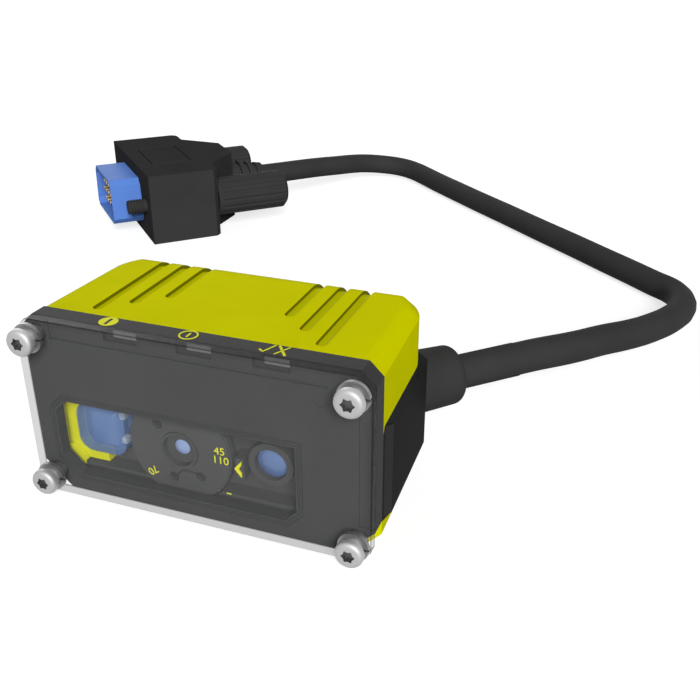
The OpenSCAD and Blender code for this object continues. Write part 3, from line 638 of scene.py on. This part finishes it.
x, y = markSetup["ring"]
half, width = markSetup["pin"]
ringMark = printedDisc("ringMark", x, y)
selectFaces(ringMark, lambda c, n: abs(n.z) > 0.9)
bpy.ops.mesh.inset(thickness=markSetup["line"] * mm)
bpy.ops.mesh.delete(type="FACE")
editSelect(ringMark, "EDGE")
editMode()
bpy.ops.mesh.select_non_manifold()
bpy.ops.mesh.bridge_edge_loops()
objectMode()
easeMark(joinPieces("ringMark", [ringMark, printedBar(x, y - half, x, y + half, width)]))

for name, bars in (("tickMark", markSetup["tick"]), ("crossMark", markSetup["cross"])):
    easeMark(joinPieces(name, [printedBar(*bar) for bar in bars]))
print("bezel marks printed")

# numbers on the focus dial
dialSetup = {
    "axis": (-3.4, 7.6), "front": 1.75, "radius": 5.45, "height": 1.45, "thick": 0.03,
    "numbers": {  # figures, place round the axis and turn, degrees
        "numberNear": ("45", 10.5, 0), "numberFar": ("110", -2.5, 0), "numberMid": ("70", 223, 215),
    },
}


def dialSpot(degrees, radius, y):  # a place round the dial's axis
    x, z = dialSetup["axis"]
    angle = math.radians(degrees)
    return spot(x + radius * math.cos(angle), y, z + radius * math.sin(angle))


for name, (word, at, turn) in dialSetup["numbers"].items():
    deselectAll()
    bpy.ops.object.text_add(location=(0, 0, 0))
    number = bpy.context.object
    number.data.body = word
    number.data.size = dialSetup["height"] * mm
    number.data.align_x = "CENTER"
    number.data.align_y = "CENTER"
    number.data.extrude = dialSetup["thick"] / 2 * mm
    bpy.ops.object.convert(target="MESH")
    number = nameNew(name)
    number.rotation_euler = (quarterTurn, -math.radians(turn), 0)
    number.location = dialSpot(at, dialSetup["radius"], dialSetup["front"] - dialSetup["thick"] / 2)
    applyPlace()
    settle(number, finishes["mark_yellow"], "dial")

# painted shade: dark discs on the floors of the key holes
keySetup = {
    "angles": (131, -51, -105), "radius": 4.1, "hole": 0.63, "floor": 2.35, "thick": 0.12,
    "dish": (0.3, 0.05),  # border and depth
}
keyShades = []
for angle in keySetup["angles"]:
    middle = dialSpot(angle, keySetup["radius"], keySetup["floor"] - keySetup["thick"] / 2)
    keyFloor = barAlongY(keySetup["hole"], keySetup["thick"], middle)
    applyPlace()
    selectFaces(keyFloor, facesForward)
    insetStep(*keySetup["dish"])
    objectMode()
    keyShades.append(keyFloor)
keyShades = joinPieces("keyShades", keyShades)
settle(keyShades, finishes["rubber_black"], "dial")

# raised bow between the lower two key holes
bowSetup = {"points": ((-4.0, 3.95), (-3.2, 4.75), (-1.95, 4.85), (-1.2, 4.75)), "thick": 0.11}
deselectAll()
bpy.ops.curve.primitive_nurbs_path_add()
dialBow = bpy.context.object
dialBow.data.splines.clear()
smoothLine(dialBow.data, [spot(x, dialSetup["front"], z) for x, z in bowSetup["points"]])
dialBow.data.bevel_depth = bowSetup["thick"] * mm
dialBow.data.bevel_resolution = 3
dialBow.data.use_fill_caps = True
bpy.ops.object.convert(target="MESH")
dialBow = nameNew("dialBow")
applyPlace()
settle(dialBow, finishes["rubber_black"], "dial", 60)

# dash on the plate below the dial
dashSetup = {"low": (2.25, 2.26, 2.36), "high": (2.85, 2.31, 2.56)}
easeMark(boxPiece("dashMark", spot(*dashSetup["low"]), spot(*dashSetup["high"])))
print("dial numbered")

# illumination lens: clear blue cap over a moulded core
lampSetup = {
    "axis": (-14.8, 7.6), "half": 3.4, "front": 2.55, "back": 5.3, "round": 1.9, "smooth": 50,
    "crown": ((0.5, -0.18), (0.9, -0.12)),  # border and rise of each step
}
coreSetup = {"low": (-1.9, 3.1, -2.6), "high": (2.1, 5.2, 2.4), "crown": (0.5, -0.3), "ease": 0.3}
tabSetup = {
    "across": (2.35, 3.1), "depth": (3.2, 4.4), "ease": 0.12,
    "heights": {"upperTab": (1.5, 2.8), "lowerTab": (-1.9, -1.1)},
}


def lampSpot(x, y, z):  # x and z counted from the lamp's axis
    return spot(lampSetup["axis"][0] + x, y, lampSetup["axis"][1] + z)


half = lampSetup["half"]
lampLow = lampSpot(-half, lampSetup["front"], -half)
lampCap = boxPiece("lampCap", lampLow, lampSpot(half, lampSetup["back"], half))
selectEdges(lampCap, runsAlongY)
bpy.ops.mesh.bevel(offset=lampSetup["round"] * mm, segments=8)
selectFaces(lampCap, facesForward)
for border, rise in lampSetup["crown"]:
    insetStep(border, rise)
objectMode()
clearBlue = clearSkin("clearBlue", (0.16, 0.3, 0.62), 0.45, 0.05)
settle(lampCap, clearBlue, "reader", lampSetup["smooth"])
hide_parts("illumination_lens")

lampCore = boxPiece("lampCore", lampSpot(*coreSetup["low"]), lampSpot(*coreSetup["high"]))
selectFaces(lampCore, facesForward)
insetStep(*coreSetup["crown"])
objectMode()
easeEdges(lampCore, coreSetup["ease"], 3)
settle(lampCore, finishes["lens_blue"], "reader", lampSetup["smooth"])

(nearX, farX), (nearY, farY) = tabSetup["across"], tabSetup["depth"]
lampTabs = joinPieces("lampTabs", [
    boxPiece(name, lampSpot(nearX, nearY, low), lampSpot(farX, farY, high))
    for name, (low, high) in tabSetup["heights"].items()
])
easeEdges(lampTabs, tabSetup["ease"], 2)
settle(lampTabs, finishes["led_white"], "reader")
print("lamp lens made")

# rolled threads on the thumbscrew tips
threadSetup = {"radius": 1.42, "ridge": 0.16, "pitch": 0.6, "turns": 5, "steps": 24, "out": 3.65}
threadBodies = {"nearThread": ("near_turn", "screw_near"), "farThread": ("far_turn", "screw_far")}
jointsByName = {joint["name"]: joint for joint in frame["joints"]}
for name, (jointName, body) in threadBodies.items():
    deselectAll()
    bpy.ops.mesh.primitive_circle_add(
        vertices=4, radius=threadSetup["ridge"] * mm, location=(threadSetup["radius"] * mm, 0, 0),
        rotation=(quarterTurn, 0, 0),
    )
    thread = nameNew(name)
    applyPlace()
    applyModifier(
        thread, "SCREW", axis="Z", angle=math.tau, screw_offset=threadSetup["pitch"] * mm,
        iterations=threadSetup["turns"], steps=threadSetup["steps"],
        render_steps=threadSetup["steps"], use_merge_vertices=True,
    )
    editSelect(thread, "VERT")
    editMode()
    bpy.ops.mesh.select_non_manifold()
    bpy.ops.mesh.edge_face_add()
    bpy.ops.mesh.select_all(action="SELECT")
    bpy.ops.mesh.normals_make_consistent(inside=False)
    objectMode()
    along = Vector(jointsByName[jointName]["axis"])
    thread.rotation_euler = along.to_track_quat("Z", "Y").to_euler()
    thread.location = Vector(jointsByName[jointName]["pos_m"]) - along * threadSetup["out"] * mm
    applyPlace()
    settle(thread, finishes["knob_black"], body)
    cordPieces.append(thread)
print("threads rolled")

# floor, world and lamps
stageSetup = {
    "floor": 0.45, "rough": 0.9, "specular": 0.1, "glow": 0.74, "ambient": 0.1,
    "size": 6, "below": 0.00002,  # m
}
pureWhite = (1, 1, 1, 1)


def mathNode(nodes, operation):
    node = nodes.new("ShaderNodeMath")
    node.operation = operation
    return node


def seenDirectly(nodes, links):
    path = nodes.new("ShaderNodeLightPath")
    either, seen = mathNode(nodes, "MAXIMUM"), mathNode(nodes, "MAXIMUM")
    links.new(path.outputs["Is Camera Ray"], either.inputs[0])
    links.new(path.outputs["Is Transmission Ray"], either.inputs[1])
    links.new(either.outputs[0], seen.inputs[0])
    links.new(path.outputs["Is Glossy Ray"], seen.inputs[1])
    return seen.outputs[0]


deselectAll()
bpy.ops.mesh.primitive_plane_add(size=stageSetup["size"], location=(0, 0, -stageSetup["below"]))
floor = bpy.context.object
floor.name = "paleFloor"
skin, nodes, links = nodeTree("paleFloor")
shader = nodes["Principled BSDF"]
shader.inputs["Base Color"].default_value = (*grey(stageSetup["floor"]), 1)
shader.inputs["Roughness"].default_value = stageSetup["rough"]
shader.inputs["Specular IOR Level"].default_value = stageSetup["specular"]
glow = nodes.new("ShaderNodeEmission")
glow.inputs["Color"].default_value = pureWhite
glowLevel = mathNode(nodes, "MULTIPLY")
glowLevel.inputs[1].default_value = stageSetup["glow"]
links.new(seenDirectly(nodes, links), glowLevel.inputs[0])
links.new(glowLevel.outputs[0], glow.inputs["Strength"])
both = nodes.new("ShaderNodeAddShader")
links.new(shader.outputs[0], both.inputs[0])
links.new(glow.outputs[0], both.inputs[1])
links.new(both.outputs[0], nodes["Material Output"].inputs["Surface"])
floor.data.materials.append(skin)

world = bpy.data.worlds.new("studio")
bpy.context.scene.world = world
world.use_nodes = True
nodes, links = world.node_tree.nodes, world.node_tree.links
ambient = nodes["Background"]
ambient.inputs["Color"].default_value = pureWhite
ambient.inputs["Strength"].default_value = stageSetup["ambient"]
white = nodes.new("ShaderNodeBackground")
white.inputs["Color"].default_value = pureWhite
white.inputs["Strength"].default_value = 1
chooser = nodes.new("ShaderNodeMixShader")
links.new(seenDirectly(nodes, links), chooser.inputs["Fac"])
links.new(ambient.outputs[0], chooser.inputs[1])
links.new(white.outputs[0], chooser.inputs[2])
links.new(chooser.outputs[0], nodes["World Output"].inputs["Surface"])

lampPlan = {  # where each soft sun stands, its level on a surface that faces it, its width
    "keySun": ((0.42, -0.75, 0.51), 0.97, 25),
    "backSun": ((-0.6, 0.77, 0.22), 0.44, 40),
}
for name, (place, level, width) in lampPlan.items():
    deselectAll()
    bpy.ops.object.light_add(type="SUN", location=place)
    lamp = bpy.context.object
    lamp.name = name
    lamp.data.energy = level * math.pi
    lamp.data.angle = math.radians(width)
    lamp.rotation_euler = (-lamp.location).to_track_quat("-Z", "Y").to_euler()
print("stage lit")
